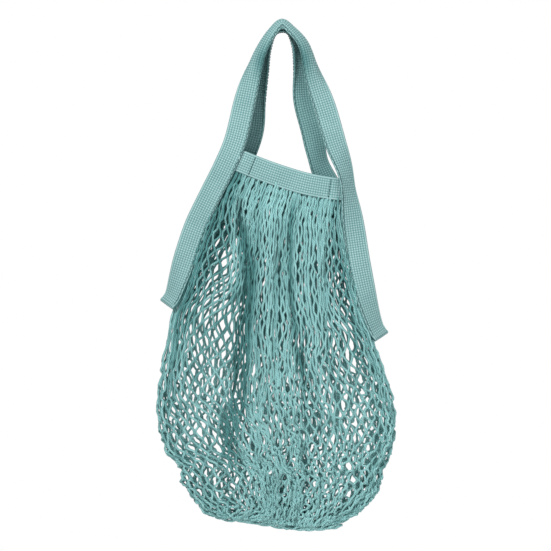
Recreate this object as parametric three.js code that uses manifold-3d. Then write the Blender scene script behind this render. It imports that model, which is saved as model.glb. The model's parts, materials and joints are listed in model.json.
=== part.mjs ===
// A knotless cotton net bag with woven tape handles, hanging by its two handle loops.
//
// Frame: millimetres, +Z up, +X to the right, the front of the bag faces -Y. The origin is the point
// that the bag hangs from, at the inside top of the handle loops.
//
// One doubled tape runs up the front edge of each side slit and over the top as the front handle, and a
// second tape does the same at the back. At the foot of each slit the two tapes are joined by a tape that
// folds round from front to back. A straight mouth band joins the two legs of each tape. The net hangs
// from all of them and is gathered into a seam at the bottom.

import * as THREE from 'three';
import { mergeVertices } from 'three/addons/utils/BufferGeometryUtils.js';
import Module from 'manifold-3d';

// ---- driving dimensions ----

const TAPE_WIDTH = 28;
const TAPE_THICKNESS = 2.4; // the tape is folded double along its length
const TOUCH_GAP = 0.4; // between pieces that touch on the real bag
const NET_THICKNESS = 2.6;
const NET_EDGE_GAP = 0.2; // from the middle plane to the side edge of each half of the pouch
const SEAM_CORD_DIAMETER = 6;
const THREAD_HEIGHT = 0.7;
const THREAD_WIDTH = 1.4;
const STITCH_GAP = 0.5; // from a tape's face to its stitching
const STITCH_LIFT = TAPE_THICKNESS / 2 + STITCH_GAP + THREAD_HEIGHT / 2; // from a tape's middle
const STITCH_INSET = 1.8; // from the tape's edge that faces into the loop

const BAND_DEPTH = 14; // half the distance between the front and rear tapes at the mouth
const SLIT_FOOT_DEPTH = 3; // the same at the foot of a slit
const APEX_DEPTH = 9;
const APEX_TILT = THREE.MathUtils.degToRad(66); // how far the tape lies back where it goes over the top
const TILT_FROM = -115; // the height where the tape starts to turn
const TILT_TO = 15;

const BAND_LEFT = new THREE.Vector3(-50, 0, -150); // on the top edge of the front mouth band
const BAND_RIGHT = new THREE.Vector3(73, 0, -183.5);
const REAR_BAND_DROP = 6;
const BAND_SEWN_AT = { left: 0.17, right: 0.83 }; // along the mouth band, where its turned-in ends are sewn
const BAND_SEWING_LENGTH = TAPE_WIDTH - 4;

const LEFT_SLIT_FOOT = new THREE.Vector3(-144, 0, -343);
const RIGHT_SLIT_FOOT = new THREE.Vector3(125, 0, -384);
const LEFT_STRAP_DOWN = new THREE.Vector3(-0.33, 0, -1).normalize(); // the way each strap ends
const RIGHT_STRAP_DOWN = new THREE.Vector3(0.33, 0, -1).normalize();
const SLIT_FOLD_LEG = 7;
const NET_TUCK = TAPE_WIDTH / 3; // from the mouth band's middle down to the net's top edge, behind the band

// Half the depth of the bag from the mouth band down to the bottom seam.
const DEPTH_AT_HEIGHT = new THREE.SplineCurve([
  new THREE.Vector2(-170, 15),
  new THREE.Vector2(-260, 16),
  new THREE.Vector2(-364, 19),
  new THREE.Vector2(-430, 27),
  new THREE.Vector2(-490, 32),
  new THREE.Vector2(-550, 28),
  new THREE.Vector2(-590, 17),
  new THREE.Vector2(-618, 6),
]);

const STRAP_STEPS = 90; // flat segments along each swept piece
const BAND_STEPS = 16;
const FOLD_STEPS = 24;
const CORD_STEPS = 20;
const UPPER_NET_SEGMENTS = { across: 14, down: 8 };
const POUCH_NET_SEGMENTS = { across: 20, down: 15 };
const WELD_DISTANCE = 1e-3;
const CUTTER_DEPTH = 40; // deeper than any tape that it cuts
const BLOCK_SIZE = 1200; // larger than the whole bag
const FOOT_BLOCK_SIZE = 80; // larger than a strap's end

const TAPE_COLOUR = 0x83bab6;
const NET_COLOUR = 0x6fb3b0;
const THREAD_COLOUR = 0x3c7774;

// ---- routes, from the left slit foot over the top to the right slit foot, as [x, z, half depth] ----

const FRONT_ROUTE = [
  [-143, -343, SLIT_FOOT_DEPTH],
  [-140, -334, SLIT_FOOT_DEPTH],
  [-132, -312, 5],
  [-119, -273, 8.5],
  [-108, -242, 11],
  [-89, -203, 13.5],
  [-72, -169, BAND_DEPTH],
  [-59, -138, BAND_DEPTH],
  [-47, -89, 13],
  [-38, -53, 11.5],
  [-30, -19, 10],
  [-15, 5, APEX_DEPTH],
  [0, 12, APEX_DEPTH],
  [14, 5, APEX_DEPTH],
  [28, -15, 10],
  [41, -58, 11.5],
  [54, -96, 13],
  [67, -140, BAND_DEPTH],
  [79, -175, BAND_DEPTH],
  [84, -204, 13.5],
  [91, -252, 11],
  [98, -295, 8.5],
  [108, -339, 5],
  [121, -375, SLIT_FOOT_DEPTH],
  [124, -384, SLIT_FOOT_DEPTH],
];

const REAR_ROUTE = [
  [-143, -343, SLIT_FOOT_DEPTH],
  [-140, -334, SLIT_FOOT_DEPTH],
  [-129, -306, 5],
  [-106, -265, 9.5],
  [-86, -229, 12],
  [-64, -191, BAND_DEPTH],
  [-47, -152, BAND_DEPTH],
  [-37, -122, 13.5],
  [-33, -84, 12.5],
  [-28, -47, 11],
  [-21, -19, 10],
  [-11, -1, APEX_DEPTH],
  [0, 5, APEX_DEPTH],
  [10, 0, APEX_DEPTH],
  [20, -19, 10],
  [26, -54, 11.5],
  [28, -83, 12.5],
  [38, -122, 13.5],
  [48, -166, BAND_DEPTH],
  [64, -198, BAND_DEPTH],
  [80, -229, 12],
  [92, -267, 9.5],
  [108, -339, 5],
  [121, -375, SLIT_FOOT_DEPTH],
  [124, -384, SLIT_FOOT_DEPTH],
];

const FRONT_BAND_ROUTE = [
  [-62, -158],
  [-30, -171],
  [-5, -180],
  [30, -190.5],
  [60, -196],
  [86, -199],
];
const REAR_BAND_ROUTE = [
  [-52, -168],
  [-30, -177],
  [-5, -186],
  [25, -195.5],
  [60, -202],
];

// The edges of the pouch below the slits, from the top down.
const POUCH_LEFT_EDGE = [
  [-143, -347],
  [-150, -395],
  [-156, -430],
  [-158, -471],
  [-154, -510],
  [-137, -545],
  [-118, -578],
  [-86, -605],
];
const POUCH_RIGHT_EDGE = [
  [124, -387],
  [128, -420],
  [138, -455],
  [142, -490],
  [138, -530],
  [126, -560],
  [104, -592],
  [76, -615],
];
const SEAM_ROUTE = [
  [-84, -609],
  [-52, -611],
  [-24, -616],
  [5, -621],
  [37, -622.5],
  [72, -621],
];

const FRONT = -1; // the sign of y on each side of the bag
const REAR = 1;
const BACKWARD = new THREE.Vector3(0, 1, 0);
const FORWARD = new THREE.Vector3(0, -1, 0);

const wasm = await Module();
wasm.setup();

const bag = new THREE.Group();
bag.name = 'mesh_produce_bag';

// ---- solids ----

function weld(geometry) {
  geometry.deleteAttribute('normal');
  geometry.deleteAttribute('uv');
  return mergeVertices(geometry, WELD_DISTANCE);
}

function toSolid(geometry) {
  const welded = weld(geometry.clone());
  return new wasm.Manifold(
    new wasm.Mesh({
      numProp: 3,
      vertProperties: new Float32Array(welded.attributes.position.array),
      triVerts: new Uint32Array(welded.index.array),
    }),
  );
}

function toGeometry(solid) {
  const mesh = solid.getMesh();
  const geometry = new THREE.BufferGeometry();
  geometry.setAttribute('position', new THREE.BufferAttribute(mesh.vertProperties, 3));
  geometry.setIndex(new THREE.BufferAttribute(mesh.triVerts, 1));
  geometry.computeVertexNormals();
  return geometry;
}

// Cuts a piece and keeps the largest body that is left, without slivers at its corners.
function cut(geometry, ...cutters) {
  let solid = toSolid(geometry);
  for (const cutter of cutters) {
    solid = solid.subtract(toSolid(cutter));
  }
  const larger = (a, b) => (a.volume() > b.volume() ? a : b);
  return toGeometry(solid.decompose().reduce(larger));
}

function addPiece(name, geometry, colour) {
  const material = new THREE.MeshStandardMaterial({ color: colour, roughness: 0.9, metalness: 0 });
  const mesh = new THREE.Mesh(geometry, material);
  mesh.name = name;
  bag.add(mesh);
}

// ---- tapes ----

function smoothStep(value, low, high) {
  const t = THREE.MathUtils.clamp((value - low) / (high - low), 0, 1);
  return t * t * (3 - 2 * t);
}

// A tape's centre line. The section's x runs across the tape, away from the loop, and its y is the
// tape's thickness, towards the front.
class TapePath extends THREE.CatmullRomCurve3 {
  constructor(points, tiltAt = () => 0, side = FRONT) {
    super(points, false, 'centripetal');
    this.tiltAt = tiltAt;
    this.side = side;
  }

  across(t) {
    const tangent = this.getTangentAt(t);
    const tilt = this.tiltAt(this.getPointAt(t));
    const width = new THREE.Vector3().crossVectors(FORWARD, tangent).normalize();
    width.multiplyScalar(Math.cos(tilt));
    width.addScaledVector(BACKWARD, -this.side * Math.sin(tilt));
    width.addScaledVector(tangent, -width.dot(tangent));
    return width.normalize();
  }

  computeFrenetFrames(segments) {
    const frames = { tangents: [], normals: [], binormals: [] };
    for (let i = 0; i <= segments; i++) {
      const tangent = this.getTangentAt(i / segments);
      const width = this.across(i / segments);
      frames.tangents.push(tangent);
      frames.normals.push(width);
      frames.binormals.push(new THREE.Vector3().crossVectors(tangent, width));
    }
    return frames;
  }
}

function section(width, thickness, x = 0, y = 0) {
  const shape = new THREE.Shape();
  shape.moveTo(x - width / 2, y - thickness / 2);
  shape.lineTo(x + width / 2, y - thickness / 2);
  shape.lineTo(x + width / 2, y + thickness / 2);
  shape.lineTo(x - width / 2, y + thickness / 2);
  shape.closePath();
  return shape;
}

function sweep(path, shape, steps) {
  return new THREE.ExtrudeGeometry(shape, { steps, extrudePath: path });
}

function tape(path, steps) {
  return sweep(path, section(TAPE_WIDTH, TAPE_THICKNESS), steps);
}

// A row of stitches on the outer face of a tape, along the edge that faces into the loop.
function stitchRow(path, side, steps) {
  const inset = -TAPE_WIDTH / 2 + STITCH_INSET;
  return sweep(path, section(THREAD_WIDTH, THREAD_HEIGHT, inset, -side * STITCH_LIFT), steps);
}

function routePoints(route, side) {
  return route.map(([x, z, depth]) => new THREE.Vector3(x, side * depth, z));
}

function apexTilt(point) {
  return APEX_TILT * smoothStep(point.z, TILT_FROM, TILT_TO);
}

const bandDirection = new THREE.Vector3().subVectors(BAND_RIGHT, BAND_LEFT).normalize();
const bandUp = new THREE.Vector3().crossVectors(bandDirection, BACKWARD).normalize();

// A block that fills everything above, or below, the line that a handle folds along.
function foldBlock(side, above) {
  const block = new THREE.BoxGeometry(BLOCK_SIZE, BLOCK_SIZE, BLOCK_SIZE);
  const sign = above ? 1 : -1;
  const centre = BAND_LEFT.clone();
  centre.z -= side === REAR ? REAR_BAND_DROP : 0;
  centre.addScaledVector(bandUp, sign * (BLOCK_SIZE / 2 - TOUCH_GAP / 2));
  const basis = new THREE.Matrix4().makeBasis(bandDirection, BACKWARD, bandUp);
  block.applyMatrix4(basis);
  block.translate(centre.x, centre.y, centre.z);
  return block;
}

// Blocks left and right of the middle, which part the two legs of a tape below its fold line.
function halfBlock(right) {
  const block = new THREE.BoxGeometry(BLOCK_SIZE, BLOCK_SIZE, BLOCK_SIZE);
  block.translate((right ? 1 : -1) * (BLOCK_SIZE / 2), 0, 0);
  return block;
}

// A block that fills everything past the end of a strap, where the slit fold starts.
function footBlock(foot, down) {
  const block = new THREE.BoxGeometry(FOOT_BLOCK_SIZE, FOOT_BLOCK_SIZE, FOOT_BLOCK_SIZE);
  const across = new THREE.Vector3().crossVectors(down, BACKWARD);
  block.applyMatrix4(new THREE.Matrix4().makeBasis(across, BACKWARD, down.clone().negate()));
  const centre = foldStart(foot, down).addScaledVector(down, FOOT_BLOCK_SIZE / 2);
  block.translate(centre.x, centre.y, centre.z);
  return block;
}

// Where the straps end and the fold at the foot of their slit starts.
function foldStart(foot, down) {
  return foot.clone().addScaledVector(down, -SLIT_FOLD_LEG);
}

function addStraps(side, name) {
  const route = side === FRONT ? FRONT_ROUTE : REAR_ROUTE;
  const path = new TapePath(routePoints(route, side), apexTilt, side);
  const rows = {
    tape: [tape(path, STRAP_STEPS), TAPE_COLOUR],
    stitching: [stitchRow(path, side, STRAP_STEPS), THREAD_COLOUR],
  };
  const upper = foldBlock(side, true);
  for (const [kind, [whole, colour]] of Object.entries(rows)) {
    const leftLeg = cut(whole, upper, halfBlock(true), footBlock(LEFT_SLIT_FOOT, LEFT_STRAP_DOWN));
    const rightLeg = cut(whole, upper, halfBlock(false), footBlock(RIGHT_SLIT_FOOT, RIGHT_STRAP_DOWN));
    addPiece(`${name}_handle_${kind}`, cut(whole, foldBlock(side, false)), colour);
    addPiece(`${name}_left_slit_${kind}`, leftLeg, colour);
    addPiece(`${name}_right_slit_${kind}`, rightLeg, colour);
  }
  return sweep(path, section(TAPE_WIDTH + 2 * TOUCH_GAP, CUTTER_DEPTH), STRAP_STEPS);
}

function addBand(side, name, strapCutter) {
  const route = side === FRONT ? FRONT_BAND_ROUTE : REAR_BAND_ROUTE;
  const points = route.map(([x, z]) => new THREE.Vector3(x, side * BAND_DEPTH, z));
  const path = new TapePath(points);
  addPiece(`${name}_mouth_band`, cut(tape(path, BAND_STEPS), strapCutter), TAPE_COLOUR);
  for (const [end, t] of Object.entries(BAND_SEWN_AT)) {
    const seam = new THREE.BoxGeometry(THREAD_WIDTH, THREAD_HEIGHT, BAND_SEWING_LENGTH);
    seam.applyMatrix4(new THREE.Matrix4().makeBasis(path.getTangentAt(t), BACKWARD, path.across(t)));
    const at = path.getPointAt(t);
    seam.translate(at.x, at.y + side * STITCH_LIFT, at.z);
    addPiece(`${name}_${end}_band_stitching`, seam, THREAD_COLOUR);
  }
  return sweep(path, section(TAPE_WIDTH + 2 * TOUCH_GAP, CUTTER_DEPTH), BAND_STEPS);
}

// The tape that joins the front and rear tapes at the foot of a slit, folded round from front to back.
function addSlitFold(name, foot, down) {
  const width = new THREE.Vector3().crossVectors(down, BACKWARD).normalize();
  const radius = SLIT_FOOT_DEPTH;
  const points = [];
  const turns = 8;
  const top = foldStart(foot, down).addScaledVector(down, TOUCH_GAP);
  const centre = top.clone().addScaledVector(down, SLIT_FOLD_LEG);
  points.push(top.clone().addScaledVector(BACKWARD, -radius));
  for (let i = 0; i <= turns; i++) {
    const angle = (Math.PI * i) / turns;
    const point = centre.clone().addScaledVector(BACKWARD, -radius * Math.cos(angle));
    points.push(point.addScaledVector(down, radius * Math.sin(angle)));
  }
  points.push(top.clone().addScaledVector(BACKWARD, radius));
  const path = new THREE.CatmullRomCurve3(points, false, 'centripetal');
  path.computeFrenetFrames = (segments) => {
    const frames = { tangents: [], normals: [], binormals: [] };
    for (let i = 0; i <= segments; i++) {
      const tangent = path.getTangentAt(i / segments);
      frames.tangents.push(tangent);
      frames.normals.push(width);
      frames.binormals.push(new THREE.Vector3().crossVectors(tangent, width));
    }
    return frames;
  };
  addPiece(`${name}_slit_fold`, tape(path, FOLD_STEPS), TAPE_COLOUR);
  const length = SLIT_FOLD_LEG + radius + TAPE_THICKNESS / 2 + 3 * TOUCH_GAP;
  const keepOut = new THREE.BoxGeometry(TAPE_WIDTH + 2 * TOUCH_GAP, CUTTER_DEPTH, 2 * length);
  keepOut.applyMatrix4(new THREE.Matrix4().makeBasis(width, BACKWARD, down.clone().negate()));
  keepOut.translate(top.x, top.y, top.z);
  return keepOut;
}

// ---- net ----

function planeCurve(route) {
  return new THREE.SplineCurve(route.map(([x, z]) => new THREE.Vector2(x, z)));
}

// A patch between four edge curves in the XZ plane: u runs left to right, v runs up.
function coonsPatch(bottom, top, left, right) {
  const corner = (u, v) => (v ? top : bottom).getPoint(u);
  return (u, v) => {
    const point = bottom.getPoint(u).multiplyScalar(1 - v).addScaledVector(top.getPoint(u), v);
    point.addScaledVector(left.getPoint(v), 1 - u).addScaledVector(right.getPoint(v), u);
    point.addScaledVector(corner(0, 0), -(1 - u) * (1 - v)).addScaledVector(corner(1, 0), -u * (1 - v));
    return point.addScaledVector(corner(0, 1), -(1 - u) * v).addScaledVector(corner(1, 1), -u * v);
  };
}

// A box with many segments, moved point by point: place(u, v, outer) gives where each point goes.
function bentSlab(segments, side, place) {
  const slab = weld(new THREE.BoxGeometry(1, 1, 1, segments.across, segments.down, 1));
  const position = slab.attributes.position;
  for (let i = 0; i < position.count; i++) {
    const along = position.getX(i) + 0.5;
    const u = side === FRONT ? along : 1 - along;
    const point = place(u, position.getY(i) + 0.5, position.getZ(i) > 0);
    position.setXYZ(i, point.x, point.y, point.z);
  }
  slab.computeVertexNormals();
  return slab;
}

function halfDepth(z) {
  const samples = 100;
  const points = DEPTH_AT_HEIGHT.getPoints(samples);
  for (let i = 1; i <= samples; i++) {
    if (points[i].x <= z || i === samples) {
      const span = points[i - 1].x - points[i].x;
      const t = THREE.MathUtils.clamp((points[i - 1].x - z) / span, 0, 1);
      return THREE.MathUtils.lerp(points[i - 1].y, points[i].y, t);
    }
  }
  return points[0].y;
}

function bulge(u) {
  const s = 2 * u - 1;
  return Math.sqrt(Math.max(0, 1 - s * s));
}

const hingeLine = new THREE.LineCurve(
  new THREE.Vector2(LEFT_SLIT_FOOT.x, LEFT_SLIT_FOOT.z),
  new THREE.Vector2(RIGHT_SLIT_FOOT.x, RIGHT_SLIT_FOOT.z),
);

function raised(curve, lift) {
  const points = curve.getPoints(24).map((point) => new THREE.Vector2(point.x, point.y + lift));
  return new THREE.SplineCurve(points);
}

// Part of a strap's centre line as a plane curve, from the slit foot up to the mouth band.
function strapEdge(route, foot, head, right) {
  const legs = right ? route.slice().reverse() : route;
  const points = legs.filter(([x, z]) => z < head.y && (right ? x > 0 : x < 0));
  return planeCurve([[foot.x, foot.y], ...points, [head.x, head.y]]);
}

function addUpperNet(side, name, cutters) {
  const route = side === FRONT ? FRONT_ROUTE : REAR_ROUTE;
  const bandRoute = side === FRONT ? FRONT_BAND_ROUTE : REAR_BAND_ROUTE;
  const top = raised(planeCurve(bandRoute), -NET_TUCK);
  const bottom = raised(hingeLine, TOUCH_GAP);
  const left = strapEdge(route, bottom.getPoint(0), top.getPoint(0), false);
  const right = strapEdge(route, bottom.getPoint(1), top.getPoint(1), true);
  const patch = coonsPatch(bottom, top, left, right);
  const slab = bentSlab(UPPER_NET_SEGMENTS, side, (u, v, outer) => {
    const point = patch(u, v);
    const edge = THREE.MathUtils.lerp(SLIT_FOOT_DEPTH, BAND_DEPTH, Math.sqrt(v));
    const depth = edge + (halfDepth(point.y) - edge) * bulge(u) + (outer ? 0.5 : -0.5) * NET_THICKNESS;
    return new THREE.Vector3(point.x, side * depth, point.y);
  });
  addPiece(`${name}_upper_net`, cut(slab, ...cutters), NET_COLOUR);
}

function addPouchNet(side, name, cutters) {
  const top = raised(hingeLine, -TOUCH_GAP);
  const bottom = raised(planeCurve(SEAM_ROUTE), SEAM_CORD_DIAMETER / 2 + 3 * TOUCH_GAP);
  const upwards = (route, foot, head) => {
    const inner = route.slice().reverse();
    return planeCurve([[foot.x, foot.y], ...inner, [head.x, head.y]]);
  };
  const left = upwards(POUCH_LEFT_EDGE, bottom.getPoint(0), top.getPoint(0));
  const right = upwards(POUCH_RIGHT_EDGE, bottom.getPoint(1), top.getPoint(1));
  const patch = coonsPatch(bottom, top, left, right);
  const shell = bentSlab(POUCH_NET_SEGMENTS, side, (u, v, outer) => {
    const inset = outer ? 1 : 1 - (2 * NET_THICKNESS) / (RIGHT_SLIT_FOOT.x - LEFT_SLIT_FOOT.x);
    const point = patch(0.5 + (u - 0.5) * inset, v);
    const depth = halfDepth(point.y) - (outer ? 0 : NET_THICKNESS);
    return new THREE.Vector3(point.x, side * (NET_EDGE_GAP + depth * bulge(u)), point.y);
  });
  addPiece(`${name}_pouch_net`, cut(shell, ...cutters), NET_COLOUR);
}

function seamCord(diameter) {
  const circle = new THREE.Shape();
  circle.absarc(0, 0, diameter / 2, 0, 2 * Math.PI);
  const points = SEAM_ROUTE.map(([x, z]) => new THREE.Vector3(x, 0, z));
  const path = new THREE.CatmullRomCurve3(points, false, 'centripetal');
  return new THREE.ExtrudeGeometry(circle, { steps: CORD_STEPS, curveSegments: 4, extrudePath: path });
}

// ---- assembly ----

const seamCutter = seamCord(SEAM_CORD_DIAMETER + 2 * TOUCH_GAP);
const keepOuts = [
  addSlitFold('left', LEFT_SLIT_FOOT, LEFT_STRAP_DOWN),
  addSlitFold('right', RIGHT_SLIT_FOOT, RIGHT_STRAP_DOWN),
];
for (const [side, name] of [[FRONT, 'front'], [REAR, 'rear']]) {
  const strapCutter = addStraps(side, name);
  const bandCutter = addBand(side, name, strapCutter);
  addUpperNet(side, name, [strapCutter, bandCutter, ...keepOuts]);
  addPouchNet(side, name, [seamCutter, ...keepOuts]);
}
addPiece('bottom_gathering_seam', seamCord(SEAM_CORD_DIAMETER), NET_COLOUR);

export default bag;
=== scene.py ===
# A knotless cotton net bag with woven tape handles, hanging by its two handle loops.
#
# Lengths are in millimetres until a mesh is made, and the frame is the CAD model's: +Z up, +X to the
# right, the front of the bag faces -Y, and the origin is the point that the bag hangs from.

import json
import math

import bpy
import numpy as np
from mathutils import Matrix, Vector


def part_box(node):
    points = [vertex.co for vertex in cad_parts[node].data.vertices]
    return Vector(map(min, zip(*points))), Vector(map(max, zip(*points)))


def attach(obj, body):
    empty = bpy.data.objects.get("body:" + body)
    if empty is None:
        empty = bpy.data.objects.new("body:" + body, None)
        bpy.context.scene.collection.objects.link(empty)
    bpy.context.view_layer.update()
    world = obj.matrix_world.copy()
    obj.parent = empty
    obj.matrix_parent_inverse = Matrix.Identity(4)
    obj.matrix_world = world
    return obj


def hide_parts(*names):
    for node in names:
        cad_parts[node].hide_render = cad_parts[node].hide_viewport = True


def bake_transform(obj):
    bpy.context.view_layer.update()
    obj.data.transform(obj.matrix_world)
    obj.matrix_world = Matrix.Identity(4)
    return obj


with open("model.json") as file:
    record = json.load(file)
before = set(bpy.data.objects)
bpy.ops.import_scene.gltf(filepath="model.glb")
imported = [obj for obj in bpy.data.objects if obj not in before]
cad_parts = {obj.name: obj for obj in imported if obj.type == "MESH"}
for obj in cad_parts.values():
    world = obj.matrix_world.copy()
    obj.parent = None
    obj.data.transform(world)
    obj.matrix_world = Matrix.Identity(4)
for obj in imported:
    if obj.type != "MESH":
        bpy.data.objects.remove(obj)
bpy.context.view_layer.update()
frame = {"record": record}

MM = 0.001
FRONT = -1  # the sign of y on each side of the bag
REAR = 1

# ---- the bag's dimensions ----

TAPE_WIDTH = 28.0
TAPE_THICKNESS = 2.2
TAPE_RIBS = 9
PICK_PITCH = 3.0  # from one crosswise thread of the tape to the next
SECTIONS_PER_PICK = 4
POINTS_PER_RIB = 4
WEAVE_RELIEF = 0.34
WEAVE_SWAP = 0.07  # how much prouder every second cell of the weave is
SELVEDGE = 1.2  # the width over which a tape thins towards its edge
EDGE_SHARE = 0.5  # of the tape's thickness, left at the very edge
FOOT_HALF_DEPTH = 3.0  # half the distance between the front and rear tapes at a slit's foot
FOOT_TURN = math.radians(42)  # how far the tape is turned round at a slit's foot
FOOT_TURN_FROM = (-265.0, -290.0)  # the heights where that turn starts, left and right, and where it ends
FOOT_TURN_TO = (-339.0, -378.0)
BAND_DEPTH = 14.0  # half the distance between the front and rear tapes at the mouth
BAND_INSET = 2.7  # how far inside the tapes a mouth band lies
APEX_TILT = math.radians(66)  # how far a tape lies back where it goes over the top
TILT_FROM = -115.0  # the heights where a tape starts to lie back, and where it lies back fully
TILT_TO = 15.0
RIGHT_LEANS = {FRONT: (-191.0, 44.0, 0.8), REAR: (-158.0, 22.0, 0.45)}  # height, reach, angle in radians
LEAN_SHIFT = 2.0  # how far back the leaning tape's middle lies
FLATTEST_ARCH = 0.05  # half the angle of the arc that a tape always makes across its width
TOP_ARCHES = {FRONT: 0.60, REAR: 0.45}  # how much more it makes where it goes over the top
LEG_ARCHES = {  # and in the left and right legs of its loop: angle, height, reach
    FRONT: ((0.95, -32.0, 34.0), (0.95, -32.0, 34.0)),
    REAR: ((0.70, -72.0, 44.0), (0.30, -32.0, 34.0)),
}
TAPE_CREASE_SHADE = (-34.0, 24.0)  # the height and reach of the painted shade in the front tape's crease
STITCH_PITCH = 4.0
STITCH_INSET = 1.7  # from the tape's edge
STITCH_RADIUS = 0.42
STITCH_SLANT = 0.45
STITCH_LIFT = 0.35
STITCH_HEIGHTS = (0.7, 1.15, 1.15, 0.7)  # a stitch rises out of the tape and dives back
STITCH_SECTIONS = (0, 1, 3, 4)  # the sections of the tape that the four points of a stitch lie on
BAND_STITCHES = 6
BAND_STITCH_START = -12.0  # from the band's middle to its first stitch
THREAD_TWIST = 1.2
THREAD_SIDES = 6

CORD_RADIUS = 1.46
NET_COLUMNS = {FRONT: 36, REAR: 44}
NET_ROWS = 45
LOW_ROWS = (14, 25)  # between these rows the net stops hanging straight and starts to crumple
FOOT_ROW = 17  # the row of the net that is level with the feet of the side slits
FOOT_HEIGHT = 0.45  # how far down the net that row is, from 0 to 1
ROW_CROWDING = 0.25  # how much closer together the rows lie towards the bottom
CORD_SEGMENT = 13.4  # cord length from one junction to the next
SPAN_GROWTH = 1.03  # the most that settling lengthens the span from one junction to the next
JUNCTION_GAPS = (2.5, 3.3)  # the least distance between neighbouring junctions, high up and low down
CORD_DRIFT = (1.2, 1.8)  # how far a cord strays from its junctions, sideways and in depth
DRIFT_SPOTS = 14  # the places along a cord where that changes
CORD_CROSSING = 0.5  # how far one cord lies in front of the other at a junction
PLY_PITCH = 3.4  # cord length for one ply to pass the next
NET_INSET = 9.0  # from a tape's centre line to where the net meets it, towards the bag's middle
INSET_HEIGHTS = (-190.0, -250.0)  # where that starts, and where it is full
BAND_OVERLAP = 6.0  # how far the net reaches up behind a mouth band
SEAM_OVERLAP = 2.0  # how far above the seam's line the net ends
EDGE_DEPTHS = (9.0, 2.0, 1.6)  # half the net's depth at its sides: at the mouth, a slit's foot and below
DEEPEST_PLEAT = 9.0  # how far a pleat may stand out past the bag's half depth
LEAST_DEPTH = 1.8
LEAST_WEIGHT = 0.12  # how close the cords are where the net is most open, against 1 as usual
JUNCTION_OFFSET = 1.0  # from a junction's middle to each of its two cords
CORD_SIDES = 6
RINGS_PER_ROW = 6
JUNCTION_RUNS = (0.9, 1.7)  # half the length that two cords run side by side, high up and low down
CORD_BOW = (0.55, 0.5, 0.25)  # how unevenly a cord bows between junctions, along each axis
THIN_SHARE = 0.94  # of CORD_RADIUS, between the junctions, and how much is added at them
JUNCTION_SWELL = 0.22
CORD_TONES = 0.18  # how much one cord may be darker than another
BUNCH_SHADE = 0.4  # how much painted shade darkens every second cord of the bunches along the two outlines, as if its neighbours shaded it
BUNCH_CORDS = (10, 8)  # how many cords those bunches have, left and right
INSIDE_SHADE = 0.75  # how much painted shade darkens the cords on the side that faces into the bag
INSIDE_FADE = 0.62  # the share of that which is lost low down
TAPE_INSIDE_SHADE = 0.5  # how much painted shade darkens the tapes on that side
TAPE_SHADE_HEIGHTS = (-330.0, -230.0)  # where that starts, above the slits' feet, and where it is full

SEAM_CORDS = 7
SEAM_TWIST = 46.0  # the length in which a cord of the seam goes once round
SEAM_RADII = (3.2, 2.6)  # of that turn, in depth and in height
SEAM_TAPER = 9.0  # over which the turn narrows at the seam's ends
SEAM_WOBBLE = 1.4
SEAM_SIDES = 8

SETTLING_STEPS = 220
SHAPE_HOLD = 0.05  # how far each step takes a junction back towards the hanging shape
TAUT_PULL = 0.4  # how far it takes two junctions that a taut cord joins, and a slack one
SLACK_PUSH = 0.05
CROWD_PUSH = 0.25  # how far it takes two junctions that lie too close
CROWDING = ((0, 2), (1, 3), (1, -3), (2, 0), (0, 4), (2, 2), (2, -2))  # rows and columns between those

FOLD_BELOW = 5.0  # where a handle starts to fold, and where it is fully folded
HANDLE_SPARE = 2.0  # how far the handle piece reaches down past where its fold starts

# Routes of the two tapes, from the left slit foot over the top to the right slit foot: x, half depth, z.
LEFT_TAPE_FOOT = [(-142.5, 3, -338), (-138.2, 3, -331.5)]
RIGHT_TAPE_FOOT = [(118.4, 3, -371), (122.8, 3, -378.5)]
LEFT_DOWN = (-0.552, 0, -0.834)  # the way each slit tape runs at its foot
RIGHT_DOWN = (0.506, 0, -0.863)
ROUTES = {
    FRONT: [
        *LEFT_TAPE_FOOT, (-131.5, 5, -312), (-119, 8.5, -273), (-108, 11, -242),
        (-89, 13.5, -203), (-72, 14, -169), (-59, 14, -138), (-47, 13, -89), (-38, 11.5, -53),
        (-28, 10, -24), (-12.5, 9, 1.5), (0, 9, 12.5), (13, 9, 3), (28, 10, -15), (41, 11.5, -58),
        (54, 13, -96), (67, 14, -140), (79, 14, -175), (84, 13.5, -204), (91, 11, -252),
        (98, 8.5, -295), (108, 5, -339), *RIGHT_TAPE_FOOT,
    ],
    REAR: [
        *LEFT_TAPE_FOOT, (-129.5, 5, -308), (-106, 9.5, -265), (-86, 12, -229),
        (-64, 14, -191), (-47, 14, -152), (-37, 13.5, -122), (-33, 12.5, -84), (-27, 11, -47),
        (-21, 10, -19), (-11, 9, 2), (0, 9, 6), (10, 9, 3), (19, 10, -15), (25, 11.5, -45),
        (28, 12.5, -83), (38, 13.5, -122), (48, 14, -166), (64, 14, -198), (80, 12, -229),
        (92, 9.5, -267), (108, 5, -339), *RIGHT_TAPE_FOOT,
    ],
}

# Routes of the two mouth bands: x, z.
BAND_ROUTES = {
    FRONT: [(-62, -158), (-30, -171), (-5, -180), (30, -190.5), (60, -196), (82, -198.6)],
    REAR: [(-52, -168), (-30, -177), (-5, -186), (25, -195.5), (60, -202)],
}

# Outline of the pouch, down from the slit feet, and the gathered seam along its bottom: x, z.
LEFT_OUTLINE = [
    (-135.5, -345), (-136.5, -353), (-142, -362), (-144, -371), (-146, -393), (-151, -411), (-156, -440),
    (-159, -466), (-157, -486), (-152, -512), (-147, -526), (-134, -539), (-128, -548),
    (-126.5, -562), (-118, -578), (-108, -593), (-96, -606), (-84, -608),
]
RIGHT_OUTLINE = [
    (116.5, -387), (122, -406), (130, -427), (137.5, -451), (142, -482), (140.5, -515), (130, -547),
    (120, -577), (101, -600), (78, -615),
]
SEAM_ROUTE = [(-84, -610), (-52, -613), (-24, -617), (5, -621), (37, -624), (76, -620)]

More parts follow.
